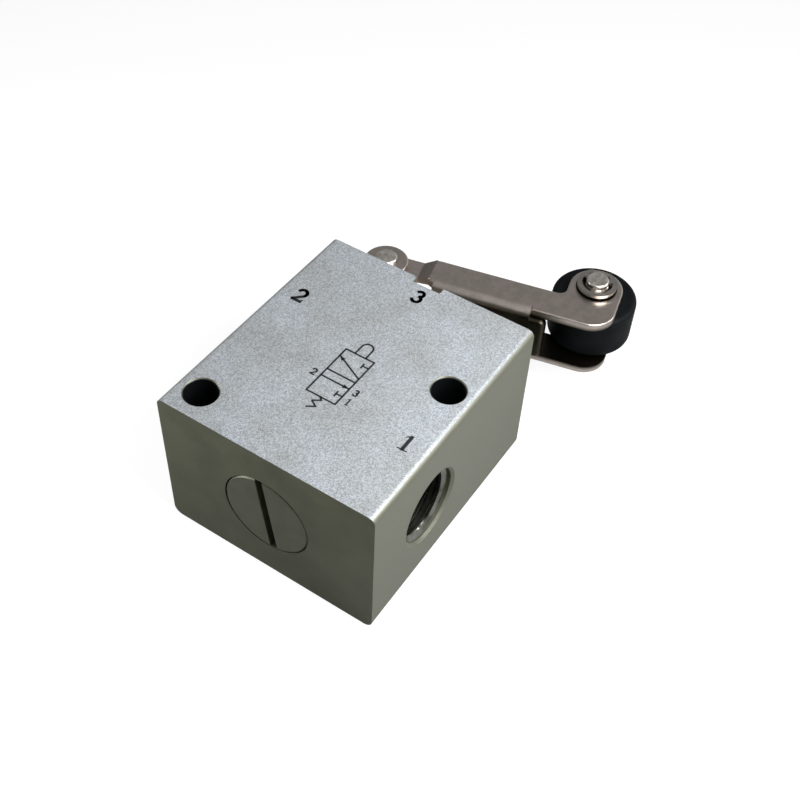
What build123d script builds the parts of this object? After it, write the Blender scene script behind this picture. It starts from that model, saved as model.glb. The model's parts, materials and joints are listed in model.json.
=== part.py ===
from build123d import *
from math import cos, radians, sin
import os

# Roller-lever pneumatic valve: three ports, two positions, normally closed. Millimetres.
# Origin at the centre of the block's back face, +Z out of its front face.
# The spool's bore runs along Y, with the screw plug at -Y and the roller lever at +Y.
# The supply port opens towards +X and the outlet port towards -X.

# Valve block, an extruded bar cut square at both ends
block_width = 40.0
block_length = 45.8
block_depth = 28.3
front_edge_radius = 1.2
back_edge_radius = 1.6

# Two mounting holes on a diagonal about the supply port's axis
mount_hole_d = 5.5
mount_from_side = 4.7
mount_spacing_y = 22.1
mount_chamfer = 0.25

# Ports, each as far from its own end of the block
port_from_end = 15.9
port_thread_d = 13.16
port_thread_depth = 11.0
port_chamfer = 0.45
port_passage_d = 8.4
passage_overlap = 0.8

# Spool bore
bore_d = 9.0
gallery_d = 12.0
gallery_width = 5.0
exhaust_land = 3.1
exhaust_chamber_d = 12.0

# Exhaust channel across the far end face
channel_width = 5.3
channel_depth = 1.35

# Screw plug in the near end
plug_hole_d = 16.0
plug_gap = 0.1
plug_head_length = 5.0
plug_chamfer = 0.3
plug_slot_width = 1.4
plug_slot_depth = 1.6
plug_slot_tilt = 8.2
plug_floor = 1.1
plug_chamber_d = 12.0
plug_pocket_d = 7.6
nose_fit = 0.05

# O-rings and their grooves
seal_section = 1.5
seal_gap = 0.03
groove_clearance = 0.4
land_flange = 0.6
seal_to_edge = 0.3

# Spool
spool_fit = 0.05
stem_d = 5.4
spigot_d = 4.6
spigot_length = 1.2
spool_stop_gap = 0.05
spool_end_gap = 0.3

# Return spring
spring_d = 7.0
spring_wire_d = 0.8
spring_turns = 4.6
spring_end_gap = 0.02

# Plunger and its guide bush
plunger_d = 6.0
plunger_fit = 0.05
plunger_tail_d = 3.0
plunger_tail_length = 5.0
bush_d = 13.0
bush_fit = 0.02
bush_length = 6.4
bush_neck_d = 9.0
bush_vent_width = 2.0
bush_vent_depth = 1.3
bush_vents = 4
wiper_section = 1.2
wiper_depth = 2.0

# Sheet that the bracket and the lever are pressed from
sheet = 1.5
bend_radius = 0.5
cut_edge_radius = 0.35

# Bracket, with the lever's pivot in its ears
pivot_x = -14.24
pivot_height = 8.4
bracket_inner_width = 9.1
bracket_ear_radius = 4.0
bracket_reach = 13.0
bracket_corner_radius = 3.0
plunger_hole_gap = 0.4

# Bracket screws
screw_d = 3.0
screw_fit = 0.05
screw_length = 8.0
screw_head_d = 5.4
screw_head_height = 1.9
screw_hole_extra = 0.8
screw_far_x = 9.8

# Pivot pin, staked in the bracket's ears
pivot_pin_d = 4.0
pin_fit = 0.02
pivot_pin_proud = 0.9
pin_end_radius = 0.4

# Lever, pressed from the same sheet as a channel with ears for the roller
lever_rest_angle = 13.2
lever_travel = 13.0
lever_width = 12.0
lever_side_gap = 0.05
web_drop = 3.5
back_rise = 3.6
channel_start = 9.8
channel_end = 27.9
web_end = 30.9
web_slit = 0.1
web_rim_radius = 0.7
web_corner_radius = 1.2
ear_drop = 2.5
roller_along = 37.2
roller_rise = 7.5
ear_radius = 4.75
ear_corner_radius = 4.4
ear_root_radius = 1.5
eye_radius = 3.4
neck_front = -0.5
joggle_start = 6.3
joggle_end = 8.7

# Running fit of what turns on a pin
running_fit = 0.05

# Roller and its pin
roller_d = 15.2
roller_side_gap = 0.2
roller_edge_radius = 1.0
hub_d = 7.6
hub_side_gap = 0.1
roller_pin_d = 4.0
pin_head_d = 6.2
pin_head_height = 1.1
clip_play = 0.5
clip_thickness = 0.6
clip_d = 7.1
clip_groove_d = 3.0
clip_lobe_d = 5.4
clip_mouth = 2.9
clip_tab_width = 1.1
clip_tab_angles = (-90, 30, 150)
clip_fit = 0.02
pin_beyond_clip = 0.85

contact_gap = 0.03
over = 1.0

# Places that follow from the sizes above
mid_z = block_depth / 2
near_end = -block_length / 2
far_end = block_length / 2
pivot_y = far_end + pivot_height

supply_y = near_end + port_from_end
outlet_y = far_end - port_from_end
mount_x = block_width / 2 - mount_from_side
plug_shoulder_y = near_end + plug_head_length
gallery_half = gallery_width / 2
exhaust_edge_y = outlet_y + gallery_half + exhaust_land
bush_shoulder_y = far_end - bush_length

seal_half = seal_section / 2
groove_half = (seal_section + groove_clearance) / 2
land_half = groove_half + land_flange
supply_seal_y = supply_y - gallery_half - seal_to_edge - seal_half
outlet_seal_y = supply_y + gallery_half + seal_to_edge + seal_half
exhaust_seal_y = exhaust_edge_y + seal_to_edge + seal_half
spool_seal_stations = (supply_seal_y, outlet_seal_y, exhaust_seal_y)
seal_d = bore_d - 2 * seal_gap
groove_d = seal_d - 2 * seal_section - 2 * seal_gap

spool_bottom_y = supply_seal_y - land_half
spool_top_y = bush_shoulder_y - spool_stop_gap
pocket_floor_y = near_end + plug_slot_depth + plug_floor

dome_radius = plunger_d / 2
tongue_outer = bracket_inner_width / 2 - lever_side_gap
bracket_outer = bracket_inner_width / 2 + sheet
lever_inner = lever_width / 2 - sheet
roller_width = 2 * lever_inner - 2 * roller_side_gap
bend_start = -web_drop + sheet + bend_radius


def dome_centre(lever_angle):
    """Station of the plunger's dome centre when the lever's web lies on it at this angle."""
    drop = web_drop + contact_gap + dome_radius
    return pivot_y - (drop + pivot_x * sin(radians(lever_angle))) / cos(radians(lever_angle))


dome_y = dome_centre(lever_rest_angle)
stroke = dome_y - dome_centre(lever_rest_angle - lever_travel)
chamber_end_y = supply_seal_y - stroke - seal_half - seal_to_edge
nose_top_y = spool_bottom_y - stroke - spool_end_gap
spigot_bottom_y = spool_bottom_y - spigot_length


def rod(diameter, start, end):
    """Cylinder on the bore's axis between two stations along Y."""
    return Pos(0, (start + end) / 2, mid_z) * Rot(90, 0, 0) * Cylinder(diameter / 2, end - start)


def ring(outer_d, inner_d, start, end):
    """Sleeve on the bore's axis between two stations along Y."""
    return rod(outer_d, start, end) - rod(inner_d, start, end)


def o_ring(outer_d, section, station):
    """O-ring on the bore's axis, seated without squeeze."""
    return Pos(0, station, mid_z) * Rot(90, 0, 0) * Torus((outer_d - section) / 2, section / 2)


def hole(diameter, depth, chamfer_size):
    """Cutter for a hole that goes down from the XY plane, with a chamfered mouth."""
    r = diameter / 2
    profile = Polyline(
        (0, 0, over),
        (r + chamfer_size + over, 0, over),
        (r, 0, -chamfer_size),
        (r, 0, -depth),
        (0, 0, -depth),
        close=True,
    )
    return revolve(make_face(profile), Axis.Z)


def upright(diameter, bottom, top, x=0, y=0):
    """Cylinder along Z between two heights."""
    return Pos(x, y, (bottom + top) / 2) * Cylinder(diameter / 2, top - bottom)


def bracket_screw_places():
    """Stations along X of the two screws that hold the bracket."""
    return (pivot_x, screw_far_x)


def make_block():
    """Block with its bore, ports, mounting holes and exhaust channel."""
    block = Pos(0, 0, mid_z) * Box(block_width, block_length, block_depth)
    block = fillet(block.edges().filter_by(Axis.Y).group_by(Axis.Z)[-1], front_edge_radius)
    block = fillet(block.edges().filter_by(Axis.Y).group_by(Axis.Z)[0], back_edge_radius)

    block -= rod(plug_hole_d, near_end - over, plug_shoulder_y)
    block -= rod(plug_chamber_d, near_end - over, chamber_end_y)
    block -= rod(bore_d, near_end, far_end)
    block -= rod(exhaust_chamber_d, exhaust_edge_y, far_end)
    block -= rod(bush_d, bush_shoulder_y, far_end + over)
    for station in (supply_y, outlet_y):
        block -= rod(gallery_d, station - gallery_half, station + gallery_half)

    port = hole(port_thread_d, port_thread_depth, port_chamfer)
    port += hole(port_passage_d, block_width / 2 - gallery_d / 2 + passage_overlap, 0)
    block -= Pos(block_width / 2, supply_y, mid_z) * Rot(0, 90, 0) * port
    block -= Pos(-block_width / 2, outlet_y, mid_z) * Rot(0, -90, 0) * port

    mount = hole(mount_hole_d, block_depth / 2 + over, mount_chamfer)
    for side in (-1, 1):
        place = Pos(side * mount_x, supply_y + side * mount_spacing_y / 2, 0)
        block -= place * Pos(0, 0, block_depth) * mount
        block -= place * Rot(180, 0, 0) * mount

    block -= Pos(0, far_end, mid_z) * Box(channel_width, 2 * channel_depth, block_depth + over)

    tapped = hole(screw_d, screw_length - sheet + screw_hole_extra, 0)
    for x in bracket_screw_places():
        block -= Pos(x, far_end, mid_z) * Rot(-90, 0, 0) * tapped
    return block


def make_end_plug():
    """Slotted screw plug with a nose that carries its seal and a pocket for the spring."""
    head = rod(plug_hole_d - 2 * plug_gap, near_end, plug_shoulder_y)
    head = chamfer(head.edges().group_by(Axis.Y)[0], plug_chamfer)
    nose_d = plug_chamber_d - 2 * nose_fit
    plug = head + rod(nose_d, plug_shoulder_y, nose_top_y)
    plug -= ring(plug_chamber_d, plug_groove_d(), plug_seal_y() - groove_half, plug_seal_y() + groove_half)
    plug -= rod(plug_pocket_d, pocket_floor_y, nose_top_y)
    slot = Box(plug_slot_width, 2 * plug_slot_depth, plug_hole_d)
    return plug - Pos(0, near_end, mid_z) * Rot(0, -plug_slot_tilt, 0) * slot


def plug_seal_d():
    """Outer diameter of the plug's O-ring."""
    return plug_chamber_d - 2 * seal_gap


def plug_groove_d():
    """Floor diameter of the groove in the plug's nose."""
    return plug_seal_d() - 2 * seal_section - 2 * seal_gap


def plug_seal_y():
    """Station of the plug's O-ring, half way along the nose."""
    return (plug_shoulder_y + nose_top_y) / 2


def make_return_spring():
    """Compression spring between the plug's pocket and the spool."""
    start = pocket_floor_y + spring_end_gap + spring_wire_d / 2
    end = spool_bottom_y - spring_end_gap - spring_wire_d / 2
    mean_r = (spring_d - spring_wire_d) / 2
    path = Helix(pitch=(end - start) / spring_turns, height=end - start, radius=mean_r)
    wire = Plane(origin=path @ 0, z_dir=path % 0) * Circle(spring_wire_d / 2)
    return Pos(0, start, mid_z) * Rot(-90, 0, 0) * sweep(wire, path=path)


def make_spool():
    """Spool with a grooved land for each seal and a spigot that centres the spring."""
    land_d = bore_d - 2 * spool_fit
    spool = rod(stem_d, spool_bottom_y, spool_top_y)
    for station in spool_seal_stations:
        spool += rod(land_d, station - land_half, station + land_half)
    spool += rod(land_d, exhaust_seal_y, spool_top_y)
    for station in spool_seal_stations:
        spool -= ring(bore_d, groove_d, station - groove_half, station + groove_half)
    spool += rod(spigot_d, spigot_bottom_y, spool_bottom_y)
    socket_d = plunger_tail_d + 2 * pin_fit
    return spool - rod(socket_d, spool_top_y - plunger_tail_length - pin_fit, spool_top_y)


def make_plunger():
    """Push rod with a domed tip and a tail pressed into the spool."""
    plunger = rod(plunger_d, spool_top_y, dome_y)
    plunger += Pos(0, dome_y, mid_z) * Sphere(dome_radius)
    return plunger + rod(plunger_tail_d, spool_top_y - plunger_tail_length, spool_top_y)


def wiper_station():
    """Station of the plunger's wiper ring in the bush."""
    return far_end - wiper_depth - wiper_section / 2


def make_guide_bush():
    """Bush that guides the plunger, with vents along its outside for the exhaust."""
    bush = rod(bush_d - 2 * bush_fit, bush_shoulder_y, far_end - channel_depth)
    bush += rod(bush_neck_d, bush_shoulder_y, far_end)
    vent = Pos(bush_d / 2, 0, 0) * Box(2 * bush_vent_depth, bush_length * 2, bush_vent_width)
    for i in range(bush_vents):
        bush -= Pos(0, far_end, mid_z) * Rot(0, (i + 0.5) * 360 / bush_vents, 0) * vent
    bush -= rod(plunger_d + 2 * plunger_fit, bush_shoulder_y, far_end)
    half = (wiper_section + groove_clearance) / 2
    wiper_groove_d = plunger_d + 2 * wiper_section + 4 * seal_gap
    return bush - rod(wiper_groove_d, wiper_station() - half, wiper_station() + half)


def make_bracket():
    """U bracket with two round-topped ears on a base that covers the bush."""
    ear_length = 2 * bracket_ear_radius
    ear_top = pivot_y + bracket_ear_radius
    height = ear_top - far_end
    channel = Box(ear_length, height, 2 * bracket_outer)
    channel -= Pos(0, sheet, 0) * Box(ear_length, height, bracket_inner_width)
    long_edges = channel.edges().filter_by(Axis.X)
    inner = long_edges.filter_by(lambda e: e.center().Y > -height / 2 and abs(e.center().Z) < bracket_outer)
    channel = fillet(inner.group_by(Axis.Y)[0], bend_radius)
    outer = channel.edges().filter_by(Axis.X).group_by(Axis.Y)[0]
    channel = fillet(outer, bend_radius + sheet)
    channel = Pos(pivot_x, far_end + height / 2, mid_z) * channel

    base_length = bracket_reach - pivot_x + bracket_ear_radius
    base = Box(base_length, sheet, 2 * bracket_outer)
    base = fillet(base.edges().filter_by(Axis.Y).group_by(Axis.X)[-1], bracket_corner_radius)
    base = Pos(bracket_reach - base_length / 2, far_end + sheet / 2, mid_z) * base
    ear_end = Pos(pivot_x, far_end + sheet / 2, mid_z) * Box(ear_length, sheet, 2 * bracket_outer)
    base -= ear_end

    shape = Pos(0, -pivot_height / 2) * Rectangle(ear_length, pivot_height) + Circle(bracket_ear_radius)
    outline = Pos(pivot_x, pivot_y, mid_z) * extrude(shape, bracket_outer, both=True)
    bracket = channel & outline
    faces = bracket.faces().filter_by(Axis.Z)
    skins = faces.filter_by(lambda f: abs(f.center().Z - mid_z) > bracket_outer - bend_radius)
    rims = [e for e in skins.edges() if (e @ 0.5).Y > pivot_y - bracket_ear_radius]
    bracket = fillet(rims, cut_edge_radius) + base

    bracket -= upright(pivot_pin_d + 2 * pin_fit, 0, block_depth, pivot_x, pivot_y)
    bracket -= rod(plunger_d + 2 * plunger_hole_gap, far_end, far_end + sheet)
    for x in bracket_screw_places():
        bracket -= Pos(x, 0, 0) * rod(screw_d + 2 * screw_fit, far_end, far_end + sheet)
    return bracket


def make_bracket_screws():
    """The two screws that hold the bracket, as separate solids."""
    seat = far_end + sheet
    head = rod(screw_head_d, seat, seat + screw_head_height)
    head = fillet(head.edges().group_by(Axis.Y)[-1], screw_head_height / 2)
    screw = head + rod(screw_d - 2 * screw_fit, seat - screw_length, seat)
    return Compound([Pos(x, 0, 0) * screw for x in bracket_screw_places()])


def make_pivot_pin():
    """Plain pin through the bracket's ears, a little proud at both ends."""
    half = bracket_outer + pivot_pin_proud
    pin = upright(pivot_pin_d, mid_z - half, mid_z + half, pivot_x, pivot_y)
    return fillet(pin.edges().filter_by(GeomType.CIRCLE), pin_end_radius)


def plate(x0, x1, y0, y1):
    """Rectangle between two corners."""
    return Pos((x0 + x1) / 2, (y0 + y1) / 2) * Rectangle(x1 - x0, y1 - y0)


def lever_plan():
    """Outline of the lever's flanges above the bend, with the pivot at the origin."""
    ear_left = roller_along - ear_radius
    ear_right = roller_along + ear_radius
    plan = plate(channel_end, ear_right, -ear_drop, back_rise)
    plan += plate(ear_left, ear_right, -ear_drop, roller_rise)
    plan += Pos(roller_along, roller_rise) * Circle(ear_radius)
    root = plan.vertices().sort_by_distance((ear_left, back_rise))[0]
    plan = fillet(root, ear_root_radius)
    corner = plan.vertices().sort_by_distance((ear_right, -ear_drop))[0]
    plan = fillet(corner, ear_corner_radius)
    plan += plate(channel_start, channel_end, bend_start, back_rise)
    neck = make_face(
        Polyline(
            (0, neck_front),
            (joggle_start, neck_front),
            (channel_start, -ear_drop),
            (channel_start, back_rise),
            (joggle_start, eye_radius),
            (0, eye_radius),
            close=True,
        )
    )
    return plan + neck + Circle(eye_radius)


def lever_channel():
    """Web of the lever with its two bends, up to where the flanges are flat."""
    half = lever_width / 2
    web_inner = -web_drop + sheet
    section = plate(-half, half, -web_drop, bend_start)
    section = fillet(section.vertices().group_by(Axis.Y)[0], bend_radius + sheet)
    hollow = plate(-lever_inner, lever_inner, web_inner, bend_start + over)
    hollow = fillet(hollow.vertices().group_by(Axis.Y)[0], bend_radius)
    start = Plane(origin=(channel_start, 0, 0), x_dir=(0, 0, -1), z_dir=(1, 0, 0))
    return start * extrude(section - hollow, channel_end - channel_start)


def web_tongue():
    """End of the web past its bends, parted from the flanges by a slit on each side."""
    half = lever_inner - web_slit
    plan = plate(-half, half, channel_end - sheet, web_end)
    plan = fillet(plan.vertices().group_by(Axis.Y)[-1], web_corner_radius)
    tongue = extrude(plan, sheet)
    rim = tongue.faces().sort_by(Axis.Z)[-1].edges()
    rim = [e for e in rim if (e @ 0.5).Y > channel_end - sheet / 2]
    tongue = fillet(rim, web_rim_radius)
    return Plane(origin=(0, sheet - web_drop, 0), x_dir=(0, 0, -1), z_dir=(0, -1, 0)) * tongue


def lever_neck_profile():
    """Side profile of the upper flange from the pivot to the end of its joggle."""
    near = -eye_radius - over
    flange_outer = lever_width / 2
    return make_face(
        Polyline(
            (near, 0, tongue_outer - sheet),
            (joggle_start, 0, tongue_outer - sheet),
            (joggle_end, 0, flange_outer - sheet),
            (joggle_end, 0, flange_outer),
            (joggle_start, 0, tongue_outer),
            (near, 0, tongue_outer),
            close=True,
        )
    )


def lever_flange():
    """Upper flange, with the cut edge of its outer side rounded past the joggle."""
    plan = lever_plan()
    top = roller_rise + ear_radius + over
    past_joggle = plate(joggle_end, roller_along + ear_radius + over, -web_drop, top)
    flat = Pos(0, 0, lever_width / 2 - sheet) * extrude(plan & past_joggle, sheet)
    rim = flat.faces().sort_by(Axis.Z)[-1].edges()
    near = cut_edge_radius / 2
    rim = rim.filter_by(lambda e: (e @ 0.5).X > joggle_end + near)
    bend_line = rim.filter_by(Axis.X).filter_by(lambda e: abs((e @ 0.5).Y - bend_start) < near)
    flat = fillet([e for e in rim if e not in bend_line], cut_edge_radius)
    neck = extrude(plan, lever_width) & extrude(lever_neck_profile(), top, both=True)
    return flat + neck


def make_lever():
    """Pressed lever: a web, two flanges joggled to tongues at the pivot, and two ears."""
    flange = lever_flange()
    lever = flange + mirror(flange, about=Plane.XY) + lever_channel() + web_tongue()
    lever -= Cylinder(pivot_pin_d / 2 + running_fit, lever_width + over)
    lever -= Pos(roller_along, roller_rise, 0) * Cylinder(roller_pin_d / 2 + pin_fit, lever_width + over)
    return in_lever_place(lever)


def in_lever_place(shape):
    """Move a shape from the lever's own frame to its place at rest."""
    return Pos(pivot_x, pivot_y, mid_z) * Rot(0, 0, lever_rest_angle) * shape


def make_roller():
    """Roller with rounded rims and a hub that keeps it clear of the ears."""
    roller = Cylinder(roller_d / 2, roller_width)
    roller = fillet(roller.edges().filter_by(GeomType.CIRCLE), roller_edge_radius)
    roller += Cylinder(hub_d / 2, 2 * lever_inner - 2 * hub_side_gap)
    roller -= Cylinder(roller_pin_d / 2 + running_fit, lever_width)
    return in_lever_place(Pos(roller_along, roller_rise, 0) * roller)


def clip_bottom():
    """Height of the E-ring's underside above the valve's mid plane."""
    return lever_width / 2 + clip_play


def make_roller_pin():
    """Headed pin through the ears, grooved for the E-ring."""
    top = clip_bottom() + clip_thickness + pin_beyond_clip
    bottom = -lever_width / 2
    shaft = upright(roller_pin_d, bottom, top)
    shaft = fillet(shaft.edges().group_by(Axis.Z)[-1], pin_end_radius)
    head = upright(pin_head_d, bottom - pin_head_height, bottom)
    head = fillet(head.edges().group_by(Axis.Z)[0], pin_end_radius)
    groove_top = clip_bottom() + clip_thickness + clip_fit
    groove = upright(2 * roller_pin_d, clip_bottom() - clip_fit, groove_top)
    groove -= upright(clip_groove_d, clip_bottom() - clip_fit, groove_top)
    return in_lever_place(Pos(roller_along, roller_rise, 0) * (shaft + head - groove))


def make_roller_clip():
    """E-ring with three tabs in the pin's groove, its mouth pointing away from the lever."""
    plan = Circle(clip_d / 2) - Circle(clip_lobe_d / 2)
    reach = (clip_d + clip_lobe_d) / 4
    for angle in clip_tab_angles:
        plan += Rot(0, 0, angle) * Pos(reach / 2, 0) * Rectangle(reach, clip_tab_width)
    plan -= Circle(clip_groove_d / 2 + clip_fit)
    plan -= Pos(0, clip_d / 2) * Rectangle(clip_mouth, clip_d)
    clip = extrude(plan, clip_thickness)
    return in_lever_place(Pos(roller_along, roller_rise, clip_bottom()) * clip)


def make_seal(station):
    """O-ring on the spool at this station."""
    return o_ring(seal_d, seal_section, station)


def make_plug_seal():
    """O-ring on the plug's nose."""
    return o_ring(plug_seal_d(), seal_section, plug_seal_y())


def make_plunger_wiper():
    """Rubber ring in the bush that wipes the plunger."""
    outer_d = plunger_d + 2 * wiper_section + 2 * seal_gap
    return o_ring(outer_d, wiper_section, wiper_station())


pieces = {
    "block": make_block(),
    "end_plug": make_end_plug(),
    "plug_seal": make_plug_seal(),
    "return_spring": make_return_spring(),
    "spool": make_spool(),
    "supply_seal": make_seal(supply_seal_y),
    "outlet_seal": make_seal(outlet_seal_y),
    "exhaust_seal": make_seal(exhaust_seal_y),
    "plunger": make_plunger(),
    "guide_bush": make_guide_bush(),
    "plunger_wiper": make_plunger_wiper(),
    "bracket": make_bracket(),
    "bracket_screws": make_bracket_screws(),
    "pivot_pin": make_pivot_pin(),
    "lever": make_lever(),
    "roller": make_roller(),
    "roller_pin": make_roller_pin(),
    "roller_clip": make_roller_clip(),
}

os.makedirs("parts", exist_ok=True)
for name, piece in pieces.items():
    piece.label = name
    export_step(piece, f"parts/{name}.step")

rest_angle = radians(lever_rest_angle)
roller_x = pivot_x + roller_along * cos(rest_angle) - roller_rise * sin(rest_angle)
roller_y = pivot_y + roller_along * sin(rest_angle) + roller_rise * cos(rest_angle)
print("plunger stroke", round(stroke, 4), "mm")
print("stroke per radian of lever", round(stroke / radians(lever_travel), 4), "mm")
print("lever pivot", pivot_x, round(pivot_y, 4), "roller axis", round(roller_x, 4), round(roller_y, 4))
print("mid height", mid_z)
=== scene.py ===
"""Looks of a roller-lever pneumatic valve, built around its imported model.

Every size is in millimetres and is turned to metres as a mesh is made. The valve lies on its back
face: +Z is the printed face, +Y the lever's end, +X the supply port's side.
"""

import logging
import math
from collections.abc import Iterable
from dataclasses import dataclass, field, replace
from enum import Enum
import json

import bmesh
import bpy
from mathutils import Matrix, Vector

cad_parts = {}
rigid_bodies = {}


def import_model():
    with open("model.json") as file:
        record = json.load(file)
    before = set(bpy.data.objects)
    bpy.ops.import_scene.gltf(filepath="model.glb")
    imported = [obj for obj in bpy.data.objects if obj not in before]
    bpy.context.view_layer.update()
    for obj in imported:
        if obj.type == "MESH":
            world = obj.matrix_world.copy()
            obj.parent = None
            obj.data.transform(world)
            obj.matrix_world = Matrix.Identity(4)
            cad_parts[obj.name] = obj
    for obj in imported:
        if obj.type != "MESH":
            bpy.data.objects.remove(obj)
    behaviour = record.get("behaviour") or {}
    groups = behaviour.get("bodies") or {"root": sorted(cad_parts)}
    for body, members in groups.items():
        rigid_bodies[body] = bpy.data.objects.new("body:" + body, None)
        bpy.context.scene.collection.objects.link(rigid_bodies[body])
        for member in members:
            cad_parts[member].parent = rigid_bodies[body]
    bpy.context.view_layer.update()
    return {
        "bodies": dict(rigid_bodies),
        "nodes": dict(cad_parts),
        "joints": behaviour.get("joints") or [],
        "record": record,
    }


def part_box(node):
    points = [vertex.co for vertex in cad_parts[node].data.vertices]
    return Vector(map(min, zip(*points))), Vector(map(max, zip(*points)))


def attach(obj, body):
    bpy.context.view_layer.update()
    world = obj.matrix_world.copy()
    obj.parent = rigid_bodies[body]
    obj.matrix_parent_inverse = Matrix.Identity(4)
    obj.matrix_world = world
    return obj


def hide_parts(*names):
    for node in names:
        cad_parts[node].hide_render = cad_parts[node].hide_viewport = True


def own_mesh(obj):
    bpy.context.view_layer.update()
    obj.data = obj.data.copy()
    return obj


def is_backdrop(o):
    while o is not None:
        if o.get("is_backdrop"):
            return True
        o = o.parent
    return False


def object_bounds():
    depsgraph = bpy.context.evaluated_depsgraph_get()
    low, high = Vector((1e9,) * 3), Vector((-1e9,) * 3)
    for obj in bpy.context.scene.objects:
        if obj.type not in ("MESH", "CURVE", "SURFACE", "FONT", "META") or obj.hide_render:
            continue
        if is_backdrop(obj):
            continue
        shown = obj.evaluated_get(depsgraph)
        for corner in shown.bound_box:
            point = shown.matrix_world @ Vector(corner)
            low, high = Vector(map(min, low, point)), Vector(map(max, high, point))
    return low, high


log = logging.getLogger("roller_lever_valve")

MM = 0.001
IMAGE_PIXELS = 800


def linear(colour: str) -> tuple[float, float, float, float]:
    """Turn an sRGB hex colour to linear light.

    Args:
        colour: Six hex digits after a hash sign.

    Returns:
        Red, green, blue and an alpha of 1.
    """
    channels = [int(colour[i : i + 2], 16) / 255 for i in (1, 3, 5)]
    red, green, blue = [c / 12.92 if c <= 0.04045 else ((c + 0.055) / 1.055) ** 2.4 for c in channels]
    return red, green, blue, 1.0


def add_node(
    tree: bpy.types.NodeTree, kind: str, inputs: dict | None = None, **settings: object
) -> bpy.types.Node:
    """Add a shader node with its settings, and set or link its inputs.

    Args:
        tree: The node tree that gets the node.
        kind: The node's type, without its ShaderNode prefix.
        inputs: Input names or indices, each with a value or with the socket that feeds it.
        settings: Properties of the node itself.

    Returns:
        The new node.
    """
    node = tree.nodes.new("ShaderNode" + kind)
    for name, value in settings.items():
        setattr(node, name, value)
    for socket, value in (inputs or {}).items():
        if isinstance(value, bpy.types.NodeSocket):
            tree.links.new(value, node.inputs[socket])
        else:
            node.inputs[socket].default_value = value
    return node


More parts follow.
